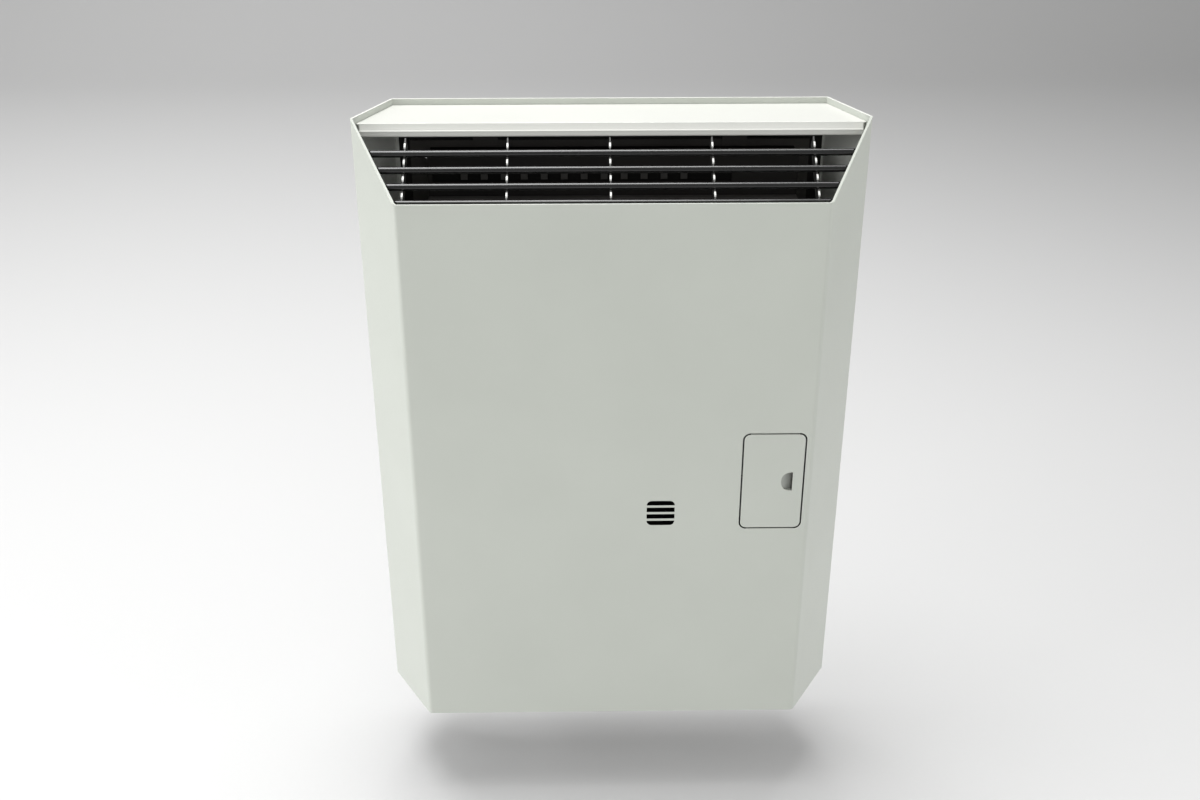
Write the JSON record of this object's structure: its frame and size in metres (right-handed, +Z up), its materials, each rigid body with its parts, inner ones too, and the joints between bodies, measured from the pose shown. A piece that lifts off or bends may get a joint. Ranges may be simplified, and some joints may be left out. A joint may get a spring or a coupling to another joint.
{
  "type": "wall mounted gas heater",
  "caption": "Wall mounted gas convector: folded sheet casing with a sloping louvred outlet, control door, sight window, burner, valve and flue ducts.",
  "frame": {"origin": "on the wall side of the wall frame, in the wall's face, at the heater's middle and 300 mm above the casing's bottom edge", "axes": "+X to the right seen from the room, +Y into the wall, +Z up"},
  "size_m": [0.471, 0.1465, 0.618],
  "materials": {
    "enamel": "satin stove enamel, warm light grey",
    "top_enamel": "satin stove enamel, near white",
    "blade": "semi-gloss black",
    "stay": "satin white",
    "galvanised": "galvanised sheet",
    "zinc": "bright zinc plate",
    "steel": "plain steel",
    "exchanger": "heat resistant matt black",
    "cast_aluminium": "die cast",
    "brass": "machined",
    "copper": "drawn copper, dulled",
    "black_plastic": "moulded, fine texture",
    "red_plastic": "moulded",
    "ceramic": "glazed",
    "silicone": "silicone sleeve",
    "glass": "heat resistant glass",
    "fibre": "pressed mineral fibre",
    "magnet": "sintered ferrite"
  },
  "bodies": {
    "heater": {"casing": "enamel", "top_panel": "top_enamel", "grille_blade_1": "blade", "grille_blade_2": "blade", "grille_blade_3": "blade", "grille_blade_4": "blade", "grille_stay_1": "stay", "grille_stay_2": "stay", "grille_stay_3": "stay", "grille_stay_4": "stay", "grille_stay_5": "stay", "grille_end_bracket_left": "blade", "grille_end_bracket_right": "blade", "door_hinge_bracket_lower": "galvanised", "door_hinge_bracket_upper": "galvanised", "control_box": "galvanised", "door_magnet": "magnet", "gas_valve": "cast_aluminium", "piezo_igniter": "black_plastic", "igniter_nut": "zinc", "wall_frame": "exchanger", "casing_screw_left": "zinc", "casing_screw_right": "zinc", "heat_exchanger": "exchanger", "exchanger_crown": "exchanger", "slot_strip": "exchanger", "flue_outlet_gasket": "fibre", "flue_outlet_spigot": "galvanised", "air_inlet_gasket": "fibre", "air_inlet_spigot": "galvanised", "sight_glass": "glass", "sight_glass_frame": "galvanised", "burner_tube": "steel", "burner_side_plate": "galvanised", "injector": "brass", "pilot_bracket": "steel", "pilot_burner": "brass", "spark_electrode": "ceramic", "thermocouple": "copper", "pilot_tube": "copper", "supply_pipe": "steel", "ignition_lead": "silicone", "inlet_pipe": "copper", "inlet_union": "brass", "valve_bracket": "galvanised", "thermostat_bulb": "copper", "bulb_capillary": "copper", "bulb_clip": "galvanised"},
    "door": {"control_door": "enamel", "door_hinge_pin_lower": "zinc", "door_hinge_pin_upper": "zinc"},
    "push_rod": {"valve_push_rod": "steel"},
    "knob": {"thermostat_knob": "black_plastic", "valve_spindle": "steel"},
    "igniter_button": {"piezo_button": "red_plastic"}
  },
  "joints": [
    {"name": "door_hinge", "type": "hinge", "parent": "heater", "child": "door", "pos_m": [0.13375, -0.1429, -0.02035], "axis": [0, 0, -1], "range_deg": [0, 110]},
    {"name": "knob_push", "type": "slide", "parent": "heater", "child": "push_rod", "axis": [0, 1, 0], "range_m": [0, 0.003], "stiffness_N_per_m": 800},
    {"name": "knob_turn", "type": "hinge", "parent": "push_rod", "child": "knob", "pos_m": [0.155, -0.118, -0.038], "axis": [0, -1, 0], "range_deg": [0, 270]},
    {"name": "button_press", "type": "slide", "parent": "heater", "child": "igniter_button", "axis": [0, 1, 0], "range_m": [0, 0.005], "stiffness_N_per_m": 600}
  ]
}
